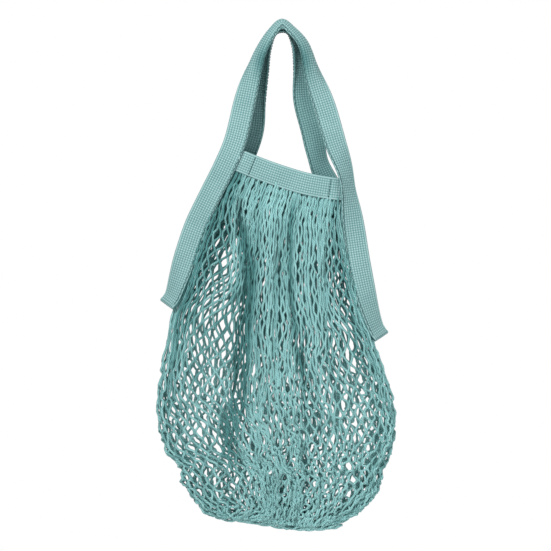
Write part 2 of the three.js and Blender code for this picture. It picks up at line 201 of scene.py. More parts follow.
# The tape's turn from front to rear at a slit's foot: distance below it, and share of the half depth.
SLIT_TURN = [(0.0, -1), (1.5, -1), (3.2, -0.87), (4.6, -0.4), (4.6, 0.4), (3.2, 0.87), (1.5, 1), (0.0, 1)]

# Half the depth of the bag at some heights: z, half depth.
DEPTHS = [(-620, 5), (-590, 16), (-550, 26), (-490, 30), (-430, 25), (-364, 18), (-260, 15), (-170, 14.5)]

# ---- curves ----


def spline(points, count):
    """A centripetal Catmull-Rom curve through the points, as count points evenly spaced along it."""
    points = np.array(points, float)
    p = np.vstack([2 * points[0] - points[1], points, 2 * points[-1] - points[-2]])
    t = np.linspace(0, 1, 24, endpoint=False)[:, None]
    fine = []
    for i in range(1, len(p) - 2):
        p0, p1, p2, p3 = p[i - 1:i + 3]
        d0, d1, d2 = (max(np.linalg.norm(b - a), 1e-6) ** 0.5 for a, b in ((p0, p1), (p1, p2), (p2, p3)))
        m1 = ((p1 - p0) / d0 - (p2 - p0) / (d0 + d1) + (p2 - p1) / d1) * d1
        m2 = ((p2 - p1) / d1 - (p3 - p1) / (d1 + d2) + (p3 - p2) / d2) * d1
        fine.append(hermite(t, p1, m1, p2, m2))
    fine.append(p[-2:-1])
    return even(np.vstack(fine), count)


def smooth_line(line, rings):
    """A rounded curve through a cord's points, with the same number of rings between them all."""
    p = np.vstack([2 * line[0] - line[1], line, 2 * line[-1] - line[-2]])
    t = (np.arange(rings) / rings)[None, :, None]
    p0, p1, p2, p3 = (p[i:len(p) - 3 + i][:, None] for i in range(4))
    curve = hermite(t, p1, (p2 - p0) / 2, p2, (p3 - p1) / 2)
    return np.vstack([curve.reshape(-1, 3), line[-1]])


def hermite(t, start, leaving, end, arriving):
    """A cubic curve from start to end as t goes from 0 to 1, with the given slopes at its ends."""
    return ((2 * t**3 - 3 * t**2 + 1) * start + (t**3 - 2 * t**2 + t) * leaving
            + (3 * t**2 - 2 * t**3) * end + (t**3 - t**2) * arriving)


def even(curve, count):
    """The same curve with count evenly spaced points."""
    s = lengths(curve)
    at = np.linspace(0, s[-1], count)
    return np.column_stack([np.interp(at, s, curve[:, k]) for k in range(curve.shape[1])])


def lengths(curve):
    return np.concatenate([[0], np.cumsum(np.linalg.norm(np.diff(curve, axis=0), axis=1))])


def size_of(v):
    return np.linalg.norm(v, axis=-1, keepdims=True)


def unit(v):
    return v / np.maximum(size_of(v), 1e-9)


def smooth_step(x, low, high):
    t = np.clip((x - low) / (high - low), 0, 1)
    return t * t * (3 - 2 * t)


def between(x, start, full, fading, end):
    """Rises from 0 to 1 from start to full, and falls back to 0 from fading to end."""
    return smooth_step(x, start, full) * (1 - smooth_step(x, fading, end))


def hump(u, middle, width):
    return np.exp(-(((u - middle) / width) ** 2))


# ---- meshes ----

BAKE_MARGIN = 0.01  # left free along the edges of the bake map
STRIP_MARGIN = 0.08  # left free along both edges of a cord's strip of it, in strip widths


def make_object(name, verts, faces, material, uv, bake_uv, ends):
    """A smooth mesh object from points in millimetres, with sharp edges between the points marked as ends.

    uv and bake_uv have one pair of numbers for each corner of each face.
    """
    mesh = bpy.data.meshes.new(name)
    mesh.from_pydata((np.asarray(verts) * MM).tolist(), [], faces)
    for layer_name, values in (("Detail", uv), ("OFBake", bake_uv)):
        layer = mesh.uv_layers.new(name=layer_name)
        layer.data.foreach_set("uv", np.asarray(values, np.float32).ravel())
    mesh.polygons.foreach_set("use_smooth", np.ones(len(mesh.polygons), bool))
    edges = np.empty(2 * len(mesh.edges), np.int32)
    mesh.edges.foreach_get("vertices", edges)
    mesh.edges.foreach_set("use_edge_sharp", np.asarray(ends)[edges.reshape(-1, 2)].all(axis=1))
    mesh.materials.append(material)
    obj = bpy.data.objects.new(name, mesh)
    bpy.context.scene.collection.objects.link(obj)
    return obj


def add_painted_shade_and_tone(obj, values):
    """Stores in the attribute fold the painted shade of each point of a mesh, with any darker tone of its
    own, which its material shows as a darker colour.
    """
    layer = obj.data.attributes.new("fold", "FLOAT", "POINT")
    layer.data.foreach_set("value", np.asarray(values, np.float32).ravel())


def tube_faces(rings, sides, first=0):
    """Quads of a tube whose rings follow each other, as indices, with corner positions (side, ring)."""
    i, j = np.meshgrid(np.arange(rings - 1), np.arange(sides), indexing="ij")
    i, j = i.ravel(), j.ravel()
    corners = [(i, j), (i, j + 1), (i + 1, j + 1), (i + 1, j)]
    quads = np.stack([first + a * sides + b % sides for a, b in corners], axis=1)
    spots = np.stack([np.stack([b, a], axis=1) for a, b in corners], axis=1)
    return quads, spots.astype(float)


# ---- materials ----


class Nodes:
    """A small helper that adds shader nodes to a material and links them."""

    def __init__(self, name):
        self.material = bpy.data.materials.new(name)
        self.material.use_nodes = True
        self.tree = self.material.node_tree
        self.bsdf = self.tree.nodes["Principled BSDF"]

    def add(self, kind, inputs=None, **settings):
        node = self.tree.nodes.new(kind)
        for key, value in settings.items():
            setattr(node, key, value)
        self.feed(node, inputs or {})
        return node

    def feed(self, node, inputs):
        for key, value in inputs.items():
            if isinstance(value, bpy.types.NodeSocket):
                self.tree.links.new(value, node.inputs[key])
            else:
                node.inputs[key].default_value = value

    def math(self, operation, *values):
        return self.add("ShaderNodeMath", dict(enumerate(values)), operation=operation).outputs[0]

    def crest(self, phase):
        """Rises from 0 to 1 and falls back again from each whole number of the phase to the next."""
        return self.math("MULTIPLY", self.math("PINGPONG", self.math("FRACT", phase), 0.5), 2.0)

    def detail_uv(self):
        uv = self.add("ShaderNodeUVMap", uv_map="Detail")
        parts = self.add("ShaderNodeSeparateXYZ", {0: uv.outputs[0]})
        return parts.outputs[0], parts.outputs[1]

    def noise(self, scale, detail):
        where = self.add("ShaderNodeTexCoord")
        inputs = {"Vector": where.outputs["Object"], "Scale": scale, "Detail": detail, "Roughness": 0.6}
        return self.add("ShaderNodeTexNoise", inputs).outputs["Fac"]

    def ramp(self, fac, stops):
        node = self.add("ShaderNodeValToRGB", {"Fac": fac})
        elements = node.color_ramp.elements
        while len(elements) < len(stops):
            elements.new(0.5)
        for element, (position, colour) in zip(elements, stops):
            element.position = position
            element.color = (*colour, 1)
        return node.outputs["Color"]

    def multiply(self, fac, a, b):
        node = self.add("ShaderNodeMix", {0: fac, 6: a, 7: b}, data_type="RGBA", blend_type="MULTIPLY")
        return node.outputs[2]

    def patchy(self, colour, noise, darkest):
        """The colour with darker patches, where it is multiplied by darkest."""
        return self.multiply(1.0, colour, self.ramp(noise, [(0.3, darkest), (0.7, (1.0, 1.0, 1.0))]))

    def apply_painted_shade_and_tone(self, colour, tint):
        # Painted shade: the fold attribute multiplies the colour by the tint, not at all at 0 and fully at
        # 1.
        fold = self.add("ShaderNodeAttribute", attribute_name="fold").outputs["Fac"]
        return self.multiply(fold, colour, (*tint, 1))

    def finish(self, colour, roughness, height, distance, strength, sheen):
        bump = self.add("ShaderNodeBump", {"Height": height, "Distance": distance, "Strength": strength})
        self.feed(self.bsdf, {
            "Base Color": colour, "Roughness": roughness, "Normal": bump.outputs[0],
            "Specular IOR Level": 0.22,
            "Sheen Weight": sheen, "Sheen Roughness": 0.45, "Sheen Tint": (0.72, 0.93, 0.90, 1),
        })
        return self.material


def srgb(r, g, b):
    """A colour given as 8-bit sRGB, in the linear values that shaders take."""
    return tuple((c / 255 / 12.92) if c <= 10 else ((c / 255 + 0.055) / 1.055) ** 2.4 for c in (r, g, b))


PLIES = 3
CORD_COLOURS = [(0.0, srgb(52, 104, 105)), (0.45, srgb(112, 171, 171)), (1.0, srgb(176, 219, 218))]
# The colour that the cord's painted shade and darker tones multiply it by, at their fullest.
CORD_SHADE_AND_TONE_TINT = (0.28, 0.44, 0.44)
TAPE_COLOURS = [(0.15, srgb(78, 124, 125)), (0.55, srgb(132, 171, 171)), (1.0, srgb(182, 208, 208))]
# The colour that the tape's painted shade multiplies it by, at its fullest.
TAPE_SHADE_TINT = (0.36, 0.52, 0.52)
THREAD_COLOURS = [(0.0, srgb(22, 58, 58)), (1.0, srgb(58, 108, 107))]


def cord_material():
    """Soft three-ply cotton cord: a spiral of plies, with dark lines where they meet, and fuzz."""
    n = Nodes("cotton_cord")
    around, along = n.detail_uv()
    ply = n.math("POWER", n.crest(n.math("ADD", n.math("MULTIPLY", around, PLIES), along)), 0.45)
    fuzz = n.noise(2600.0, 2.0)
    tone = n.math("ADD", n.math("MULTIPLY", ply, 0.75), n.math("MULTIPLY", fuzz, 0.35))
    colour = n.patchy(n.ramp(tone, CORD_COLOURS), n.noise(38.0, 2.0), (0.80, 0.84, 0.84))
    # Painted shade, with the cords' own darker tones, from the mesh's fold attribute.
    colour = n.apply_painted_shade_and_tone(colour, CORD_SHADE_AND_TONE_TINT)
    rough = n.math("MULTIPLY_ADD", fuzz, 0.12, 0.78)
    height = n.math("ADD", ply, n.math("MULTIPLY", fuzz, 0.35))
    return n.finish(colour, rough, height, distance=0.0004, strength=0.7, sheen=0.03)


def tape_material():
    """Woven cotton tape: lengthwise ribs crossed by picks, darker in the gaps between the threads."""
    n = Nodes("woven_cotton_tape")
    across, along = n.detail_uv()
    rib_edge = n.math("POWER", n.crest(across), 0.5)
    pick_edge = n.math("POWER", n.crest(along), 0.4)
    from_middle = n.math("ABSOLUTE", n.math("SUBTRACT", across, TAPE_RIBS / 2))
    selvedge = n.math("GREATER_THAN", from_middle, TAPE_RIBS / 2 - 1)
    thread = n.math("MULTIPLY", rib_edge, n.math("MAXIMUM", pick_edge, selvedge))
    thread = n.math("MULTIPLY", thread, n.math("SUBTRACT", 1.0, n.math("MULTIPLY", selvedge, 0.18)))
    fuzz = n.noise(2400.0, 2.0)
    tone = n.math("ADD", n.math("MULTIPLY", thread, 0.85), n.math("MULTIPLY", fuzz, 0.22))
    colour = n.patchy(n.ramp(tone, TAPE_COLOURS), n.noise(26.0, 3.0), (0.86, 0.89, 0.89))
    # Painted shade from the mesh's fold attribute.
    colour = n.apply_painted_shade_and_tone(colour, TAPE_SHADE_TINT)
    rough = n.math("MULTIPLY_ADD", fuzz, 0.1, 0.8)
    height = n.math("ADD", thread, n.math("MULTIPLY", fuzz, 0.25))
    return n.finish(colour, rough, height, distance=0.0003, strength=0.6, sheen=0.06)


def thread_material():
    """Sewing thread, twisted from fine plies, a darker shade than the tape."""
    n = Nodes("sewing_thread")
    around, along = n.detail_uv()
    twist = n.crest(n.math("ADD", n.math("MULTIPLY", around, 2.0), n.math("MULTIPLY", along, 3.0)))
    rough = n.math("MULTIPLY_ADD", n.noise(3000.0, 1.0), 0.1, 0.7)
    return n.finish(n.ramp(twist, THREAD_COLOURS), rough, twist, distance=0.0002, strength=0.6, sheen=0.1)


CORD = cord_material()
TAPE = tape_material()
THREAD = thread_material()

# ---- tapes ----


class Tape:
    """A tape's centre line with, at each point, the way across it, away from the loop, and its normal.

    A tape that isn't shaped stays flat, as the mouth bands are. Given across, it has that one way across.
    """

    def __init__(self, points, side, shaped=True, across=None):
        count = int(lengths(spline(points, 400))[-1] / PICK_PITCH * SECTIONS_PER_PICK) + 1
        self.side = side
        self.centre = spline(points, count)
        self.s = lengths(self.centre)
        self.tangent = unit(np.gradient(self.centre, axis=0))
        turn = smooth_step(self.centre[:, 2], TILT_FROM, TILT_TO) * shaped
        lean = self.lean() * shaped
        self.centre[:, 1] += LEAN_SHIFT * lean * (side == FRONT)
        tilt = (APEX_TILT * turn + self.foot_turn() * shaped + lean)[:, None]
        if across is None:
            flat = unit(np.cross([0, -1, 0], self.tangent))
            width = flat * np.cos(tilt) + np.array([0, 1, 0]) * np.sin(tilt)
            width = width - self.tangent * np.sum(width * self.tangent, axis=1, keepdims=True)
        else:
            width = np.array([across]) + 0 * self.tangent
        self.width = unit(width)
        self.out = unit(np.cross(self.tangent, self.width)) * -side
        self.arch = self.curl(turn) * shaped + FLATTEST_ARCH

    def lean(self):
        """How far the right leg of the loop turns edge-on beside the mouth band."""
        x, z = self.centre[:, [0, 2]].T
        height, reach, most = RIGHT_LEANS[self.side]
        return most * hump(z, height, reach) * (x > 0)

    def curl(self, turn):
        """How strongly a handle is curved across its width, as half the angle of the arc."""
        x, z = self.centre[:, [0, 2]].T
        left, right = (angle * hump(z, height, reach) for angle, height, reach in LEG_ARCHES[self.side])
        return TOP_ARCHES[self.side] * turn**4 + np.where(x < 0, left, right)

    def foot_turn(self):
        """How far the tape has turned round towards the foot of its slit."""
        x, z = self.centre[:, [0, 2]].T
        start = np.where(x < 0, *FOOT_TURN_FROM)
        end = np.where(x < 0, *FOOT_TURN_TO)
        return FOOT_TURN * smooth_step(z, start, end)

    def surface(self, keep, across, lift):
        """Points on the tape: at each kept section, across it by the given distances, lifted outwards."""
        arch = self.arch[keep][:, None]
        bend = TAPE_WIDTH / 2 / arch
        angle = across[None, :] / bend
        x = (bend + lift) * np.sin(angle)
        y = (bend + lift) * np.cos(angle) - bend * (1 + np.cos(arch)) / 2
        return (self.centre[keep][:, None] + self.width[keep][:, None] * x[..., None]
                + self.out[keep][:, None] * y[..., None])


def weave_relief(ribs, picks):
    """How far the threads stand out of a tape's face, at each pick along it and rib across it."""
    rib_height = 1 - np.abs(2 * (ribs % 1) - 1) ** 3
    pick_height = 1 - np.abs(2 * (picks % 1) - 1) ** 3
    swap = WEAVE_SWAP * (-1.0) ** np.floor(ribs)[None, :] * (-1.0) ** np.floor(picks)[:, None]
    inner_ribs = (ribs > 1) & (ribs < TAPE_RIBS - 1)
    cell = np.where(inner_ribs[None, :], pick_height[:, None], 1.0)
    return (WEAVE_RELIEF + swap) * cell * rib_height[None, :]


def tape_piece(name, tape, keep):
    """A length of woven tape with real ribs and picks on both faces, closed at its edges and ends."""
    steps = TAPE_RIBS * POINTS_PER_RIB
    ribs = np.linspace(0, TAPE_RIBS, steps + 1)
    across = (ribs / TAPE_RIBS - 0.5) * TAPE_WIDTH
    picks = np.asarray(keep) / SECTIONS_PER_PICK
    relief = weave_relief(ribs, picks)
    thinning = np.clip((TAPE_WIDTH / 2 - np.abs(across)) / SELVEDGE, EDGE_SHARE**2, 1) ** 0.5
    half = TAPE_THICKNESS / 2 * thinning - WEAVE_RELIEF
    outer = tape.surface(keep, across, half[None, :] + relief)
    inner = tape.surface(keep, across, -half[None, :] - relief)
    sections = np.concatenate([outer, inner[:, ::-1]], axis=1)
    rings, sides = sections.shape[:2]
    quads, spots = tube_faces(rings, sides)
    if tape.side == FRONT:
        quads, spots = quads[:, ::-1], spots[:, ::-1]
    caps = []
    cap_spots = []
    for end, flip in ((0, False), (rings - 1, True)):
        for k in range(steps):
            corners = [k, k + 1, sides - 2 - k, sides - 1 - k]
            corners = corners[::-1] if flip == (tape.side == FRONT) else corners
            caps.append([end * sides + c for c in corners])
            cap_spots.append([(c, end) for c in corners])
    column, ring = np.vstack([spots.reshape(-1, 2), np.reshape(cap_spots, (-1, 2))]).T
    rib_at = np.where(column <= steps, column, sides - 1 - column) / POINTS_PER_RIB
    rib_at = np.where(column >= sides, 0, rib_at)
    uv = np.column_stack([rib_at, picks[0] + ring / SECTIONS_PER_PICK])
    bake = np.column_stack([column / sides, ring / (rings - 1)]) * (1 - 2 * BAKE_MARGIN) + BAKE_MARGIN
    ends = np.isin(np.arange(rings * sides) // sides, (0, rings - 1))
    obj = make_object(name, sections.reshape(-1, 3), quads.tolist() + caps, TAPE, uv, bake, ends)
    # Painted shade for the crease and for the face inside the loop.
    add_painted_shade_and_tone(obj, tape_shade(tape, keep, across))
    return obj


def tape_shade(tape, keep, across):
    """How much painted shade each section's points get: in the front tape's crease, and inside the loop."""
    towards_loop = smooth_step(-across / TAPE_WIDTH, -0.1, 0.35)
    height = tape.centre[keep][:, 2]
    # Painted shade in the front tape's crease, on its half towards the loop.
    crease = hump(height, *TAPE_CREASE_SHADE)[:, None] * towards_loop[None, :] * (tape.side == FRONT)
    # Painted shade on the face that looks into the loop, growing to full above the slits' feet.
    inside = TAPE_INSIDE_SHADE * smooth_step(height, *TAPE_SHADE_HEIGHTS)[:, None]
    return np.concatenate([crease, np.minimum(crease[:, ::-1] + inside, 1)], axis=1)


def tubes_mesh(name, lines, radius, sides, material, twist_pitch):
    """Round cords along several lines of points, as one mesh of closed tubes.

    The radius is one number, or one for each point of a line. Each cord has its own strip of the bake map,
    with its two end caps in the margins.
    """
    verts, faces, uvs, bakes, ends = [], [], [], [], []
    first = 0
    for k, line in enumerate(lines):
        line = np.asarray(line, float)
        rings = len(line)
        tangent = unit(np.gradient(line, axis=0))
        reference = np.array([0.0, 1.0, 0.0])
        if np.abs(tangent[:, 1]).max() > 0.9:
            reference = unit(np.cross(tangent.mean(0), [0.31, 0.2, 0.93]))
        side_a = unit(np.cross(tangent, reference))
        side_b = np.cross(tangent, side_a)
        angle = (np.arange(sides) * 2 * np.pi / sides)[:, None]
        around = side_a[:, None] * np.cos(angle) + side_b[:, None] * np.sin(angle)
        verts.append((line[:, None] + around * np.reshape(radius, (-1, 1, 1))).reshape(-1, 3))
        quads, spots = tube_faces(rings, sides, first)
        caps = ((0, range(sides)[::-1]), (rings - 1, range(sides)))
        faces += quads.tolist() + [[first + end * sides + c for c in cap] for end, cap in caps]
        corners = np.vstack([spots.reshape(-1, 2), [(c, end) for end, cap in caps for c in cap]])
        column, ring = corners.T
        uvs.append(np.column_stack([column / sides, lengths(line)[ring.astype(int)] / twist_pitch]))
        strip = (k + STRIP_MARGIN + (1 - 2 * STRIP_MARGIN) * column / sides) / len(lines)
        height = BAKE_MARGIN + (1 - 2 * BAKE_MARGIN) * ring / (rings - 1)
        height[-2 * sides:] = np.repeat([BAKE_MARGIN / 2, 1 - BAKE_MARGIN / 2], sides)
        bakes.append(np.column_stack([strip, height]))
        first += rings * sides
        ends.append(np.isin(np.arange(rings * sides) // sides, (0, rings - 1)))
    verts, uvs, bakes, ends = (np.concatenate(parts) for parts in (verts, uvs, bakes, ends))
    obj = make_object(name, verts, faces, material, uvs, bakes, ends)
    return obj


def stitch(tape, sections, across):
    """The two lines of one stitch, over the tape's outer face and over its inner one."""
    lines = []
    for lift in np.array([1, -1]) * (TAPE_THICKNESS / 2 + STITCH_LIFT):
        points = [tape.surface(np.array([k]), np.array([a]), np.array([[lift * h]]))[0, 0]
                  for k, a, h in zip(sections, across, STITCH_HEIGHTS)]
        lines.append(smooth_line(np.array(points), 2))
    return lines


def stitches_mesh(name, lines):
    return tubes_mesh(name, lines, STITCH_RADIUS, THREAD_SIDES, THREAD, THREAD_TWIST)


def stitch_row(name, tape, keep):
    """A row of small slanting stitches along the loop-side edge of a tape, on both of its faces."""
    lines = []
    edge = STITCH_INSET - TAPE_WIDTH / 2
    pitch = round(STITCH_PITCH / PICK_PITCH * SECTIONS_PER_PICK)
    for n, start in enumerate(range(keep[0] + 2, keep[-1] - pitch, pitch)):
        slant = STITCH_SLANT * (-1) ** n * np.array([-1, -0.5, 0.5, 1])
        lines += stitch(tape, np.add(start, STITCH_SECTIONS), edge + slant)
    return stitches_mesh(name, lines)


def cross_stitch_row(name, tape, section):
    """A row of stitches across the mouth band, where its end is sewn down."""
    lines = []
    for n in range(BAND_STITCHES):
        across = BAND_STITCH_START + n * STITCH_PITCH + np.array([0, 1.0, 2.0, 3.0])
        lines += stitch(tape, [section] * 4, across)
    return stitches_mesh(name, lines)


def add_slit_fold(end, foot, down):
    """The tape's turn at a slit's foot, from the front side of the bag round to the rear."""
    foot = foot * np.array([1, 0, 1])
    down = np.array(down)
    flat = np.array([-down[2], 0, down[0]])
    across = flat * math.cos(FOOT_TURN) + np.array([0, np.sign(foot[0]), 0]) * math.sin(FOOT_TURN)
    slide = across[1]
    rearward = unit(np.array([0, 1, 0]) - across * slide)
    route = []
    for step, (below, back) in zip(np.linspace(-1, 1, len(SLIT_TURN)), SLIT_TURN):
        offset = rearward * back * rearward[1] + across * slide * step
        route.append(foot + down * below + offset * FOOT_HALF_DEPTH)
    tape = Tape(route, FRONT, shaped=False, across=across)
    piece = tape_piece(f"{end}_slit_turn", tape, np.arange(len(tape.s)))
    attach(piece, "pouch")
    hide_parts(f"{end}_slit_fold")


def add_gathering_seam():
    """The cords that draw the bottom of the net together, wound round each other along the seam."""
    base = spline([(x, 0, z) for x, z in SEAM_ROUTE], 150)
    s = lengths(base)
    rng = np.random.default_rng(3)
    lines = []
    for k in range(SEAM_CORDS):
        way = 1 if k % 2 else -1
        turn = 2 * np.pi * (k / SEAM_CORDS + s / SEAM_TWIST * way) + rng.uniform(0, 6)
        wobble = np.interp(s, np.linspace(0, s[-1], 24), rng.uniform(-SEAM_WOBBLE, SEAM_WOBBLE, 24))
        high = SEAM_RADII[1] * np.sin(turn) + wobble
        out = SEAM_RADII[0] * np.cos(turn)
        taper = np.minimum(1, np.minimum(s, s[-1] - s) / SEAM_TAPER)
        lines.append(base + np.stack([0 * s, out * taper, high * taper], axis=1))
    seam = tubes_mesh("bottom_gather", lines, CORD_RADIUS, SEAM_SIDES, CORD, PLY_PITCH)
    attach(seam, "pouch")
    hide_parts("bottom_gathering_seam")


# ---- the net ----


def boundary(upper, lower):
    """A side edge of the net: down the tape to the slit foot, then down the pouch's outline."""
    above = even(np.array(upper, float), FOOT_ROW + 1)
    curve = spline(lower, 200)
    part = below_foot(np.arange(NET_ROWS - FOOT_ROW + 1) / (NET_ROWS - FOOT_ROW))
    below = np.column_stack([np.interp(part, np.linspace(0, 1, len(curve)), curve[:, k]) for k in (0, 1)])
    return np.vstack([above, below[1:]])


def below_foot(t):
    """Rows lie closer together towards the bottom, where the net is not pulled straight."""
    return t * (1 + ROW_CROWDING * (1 - t))


def leg(route, head_z, left):
    """Where the net meets a tape, from the mouth band down to the slit's foot, as x, z."""
    line = spline(route, 600)[:, [0, 2]]
    line = line[line[:, 0] < 0] if left else line[line[:, 0] > 0]
    line = line[line[:, 1] <= head_z]
    line[:, 0] += NET_INSET * smooth_step(line[:, 1], *INSET_HEIGHTS) * (1 if left else -1)
    return line[np.argsort(-line[:, 1])]


def spread(weights, count):
    """count positions from 0 to 1, closer together where the weight is large."""
    total = np.concatenate([[0], np.cumsum((weights[1:] + weights[:-1]) / 2)])
    total /= total[-1]
    return np.interp(np.linspace(0, 1, count), total, np.linspace(0, 1, len(weights)))


# In what follows, u runs from 0 to 1 across the net and v from 0 at the mouth band to 1 at the bottom seam.


def valley(v):
    """Where, across the front net, its deepest fold runs."""
    return 0.35 - 0.19 * (1 - smooth_step(v, 0.0, 0.35)) - 0.12 * smooth_step(v, 0.62, 0.95)


def groove(v):
    """Where the shallower fold right of the middle runs."""
    return 0.585 + 0.05 * v


def left_opening(v):
    """Where the front net stands open beside the left slit tape, so that the rear net shows through."""
    return 0.085 + 0.27 * v


def right_opening(v):
    """The same beside the right slit tape."""
    return 0.90 - 0.03 * v


def hanging(v):
    """Grows from 0 under the mouth band, where the cords are gathered, to 1 where the net hangs freely."""
    return smooth_step(v, 0.08, 0.30)


def foot_gather(u, v):
    """How closely the net is drawn together at the feet of the two side slits."""
    return 0.7 * hump(v, 0.465, 0.03) * (hump(u, 0.02, 0.04) + hump(u, 0.98, 0.03))


def front_weight(u, v):
    """How closely the front net is bunched at u across and v down."""
    upper = 1 - smooth_step(v, 0.48, 0.62)
    belly = between(v, 0.44, 0.56, 0.93, 1.0)
    w = 1.0 + 0 * u
    # The open strips beside the two slit tapes.
    w -= upper * (0.10 + 0.79 * hanging(v)) * hump(u, left_opening(v), 0.068)
    w -= upper * (0.78 * hanging(v)) * hump(u, right_opening(v), 0.042)
    # The cords that crowd into the deepest fold, and the bunch along the left outline under the slit.
    w += between(v, 0.08, 0.30, 0.7, 0.9) * 0.9 * hump(u, valley(v), 0.03)
    w += belly * (1 - smooth_step(v, 0.62, 0.74)) * 1.3 * hump(u, 0.05, 0.05)
    # The pouch is close in the middle and along the right outline, and open between those.
    w += belly * (0.9 * hump(u, 0.50, 0.13) + 0.9 * hump(u, 0.97, 0.04))
    w += foot_gather(u, v)
    w -= belly * (0.66 * hump(u, 0.20, 0.10) + 0.32 * hump(u, 0.83, 0.07))
    return w


def rear_weight(u, v):
    """The same for the rear net, whose open diamonds show through the gaps in the front."""
    upper = 1 - smooth_step(v, 0.46, 0.60)
    belly = smooth_step(v, 0.44, 0.60)
    w = 1.0 + 0 * u
    w -= upper * hanging(v) * (0.82 * hump(u, 0.12 + 0.23 * v, 0.085) + 0.6 * hump(u, 0.89, 0.05))
    w -= belly * (0.30 * hump(u, 0.22, 0.10) + 0.12 * hump(u, 0.83, 0.06))
    w += 0.2 * hump(u, 0.55, 0.14)
    w += foot_gather(u, v)
    return w


def pleat_depth(u, v, side):
    """How far the net stands out from, or falls back behind, its mean surface: soft vertical pleats."""
    if side == FRONT:
        valleys = 9.0 * hump(u, groove(v), 0.022) + 20.0 * hump(u, valley(v), 0.030)
        valleys = valleys + 5.0 * (hump(u, left_opening(v), 0.05) + hump(u, right_opening(v), 0.035))
        ridges = 6.0 * hump(u, 0.47, 0.06) + 6.0 * hump(u, 0.73, 0.07) + 4.0 * hump(u, 0.28, 0.03)
    else:
        valleys = 5.0 * hump(u, 0.4, 0.05) + 5.0 * hump(u, 0.75, 0.06)
        ridges = 3.0 * hump(u, 0.55, 0.08)
    return (ridges - valleys) * smooth_step(v, 0.05, 0.2) * (1 - 0.8 * smooth_step(v, 0.74, 0.98))


def painted_fold_shade(u, v):
    """How much painted shade a place of the front net gets, from 0 to 1: most in its deepest fold, and also
    in its shallower fold, under the mouth band, in its openings and beside its bunches.
    """
    deepest = smooth_step(v, 0.08, 0.22) * (1 - 0.9 * smooth_step(v, 0.72, 0.95))
    shade = 1.25 * hump(u, valley(v), 0.04) * deepest
    shade += 0.8 * hump(u, groove(v), 0.02) * between(v, 0.02, 0.08, 0.5, 0.65)
    # Painted shade under the left end of the mouth band.
    shade += 0.9 * hump(u, 0.07, 0.09) * (1 - smooth_step(v, 0.05, 0.25))
    # Painted shade in the two openings, behind the left slit tape, and beside the bunches below the slits.
    open_side = hump(u, left_opening(v), 0.05) + hump(u, right_opening(v), 0.035)
    shade += 0.6 * open_side * between(v, 0.12, 0.25, 0.46, 0.56)
    shade += 0.6 * hump(u, 0.0, 0.06) * between(v, 0.1, 0.2, 0.40, 0.47)
    shade += 0.8 * hump(u, 0.12, 0.03) * between(v, 0.42, 0.50, 0.60, 0.70)
    shade += 0.7 * hump(u, 0.86, 0.03) * between(v, 0.40, 0.48, 0.56, 0.66)
    return np.clip(shade, 0, 1)


def half_depth(z):
    return np.interp(z, *np.transpose(DEPTHS))


def waves(rng, shape, cells):
    """Smooth random numbers from -1 to 1 over a grid."""
    grid = rng.uniform(-1, 1, (cells[0] + 1, cells[1] + 1))
    for steps, count in zip(cells[::-1], shape[::-1]):
        at = np.linspace(0, steps, count)
        grid = np.array([np.interp(at, np.arange(steps + 1), line) for line in grid]).T
    return grid


def height_of_row(r):
    """How far down the net a row is, from 0 at the mouth band to 1 at the seam along the bottom."""
    if r <= FOOT_ROW:
        return FOOT_HEIGHT * r / FOOT_ROW
    return FOOT_HEIGHT + (1 - FOOT_HEIGHT) * below_foot((r - FOOT_ROW) / (NET_ROWS - FOOT_ROW))


def net_surface(side):
    """Where each junction of the net would lie if the net hung smoothly: rows down, half columns across."""
    weight = front_weight if side == FRONT else rear_weight
    count = 2 * NET_COLUMNS[side] + 1
    top = spline(BAND_ROUTES[side], count) - [0, TAPE_WIDTH / 2 - BAND_OVERLAP]
    bottom = spline(SEAM_ROUTE, count) + [0, SEAM_OVERLAP]
    left = boundary(leg(ROUTES[side], top[0, 1], True), LEFT_OUTLINE)
    right = boundary(leg(ROUTES[side], top[-1, 1], False), RIGHT_OUTLINE)
    grid = np.zeros((NET_ROWS + 1, count, 3))
    shade = np.zeros((NET_ROWS + 1, count))
    fine = np.linspace(0, 1, 400)
    base = np.linspace(0, 1, count)
    for r in range(NET_ROWS + 1):
        v = height_of_row(r)
        u = spread(np.maximum(weight(fine, v), LEAST_WEIGHT), count)
        for axis in (0, 1):
            above = np.interp(u, base, top[:, axis])
            below = np.interp(u, base, bottom[:, axis])
            corners = ((1 - u) * (1 - v) * top[0, axis] + u * (1 - v) * top[-1, axis]
                       + (1 - u) * v * bottom[0, axis] + u * v * bottom[-1, axis])
            grid[r, :, 2 * axis] = ((1 - v) * above + v * below + (1 - u) * left[r, axis]
                                    + u * right[r, axis] - corners)
        bulge = np.sqrt(np.clip(1 - (2 * u - 1) ** 2, 0, 1)) * smooth_step(v, 0.0, 0.09)
        at_mouth, at_foot, edge = EDGE_DEPTHS
        if r <= FOOT_ROW:
            edge = at_foot + (at_mouth - at_foot) * (1 - r / FOOT_ROW) ** 0.6
        depth = edge + (half_depth(grid[r, :, 2]) - edge + pleat_depth(u, v, side)) * bulge
        grid[r, :, 1] = side * depth
        # Painted shade for the front net's folds and openings.
        shade[r] = painted_fold_shade(u, v) * (side == FRONT)
    return grid, shade


SCALLOPS = (-3.5, 1.5)  # how far the net's outline strays, inwards and outwards
UPPER_SCALLOPS = 0.3  # the share of that above the slits' feet
SCALLOP_RISE = 1.5  # how far the outline's points stray up or down


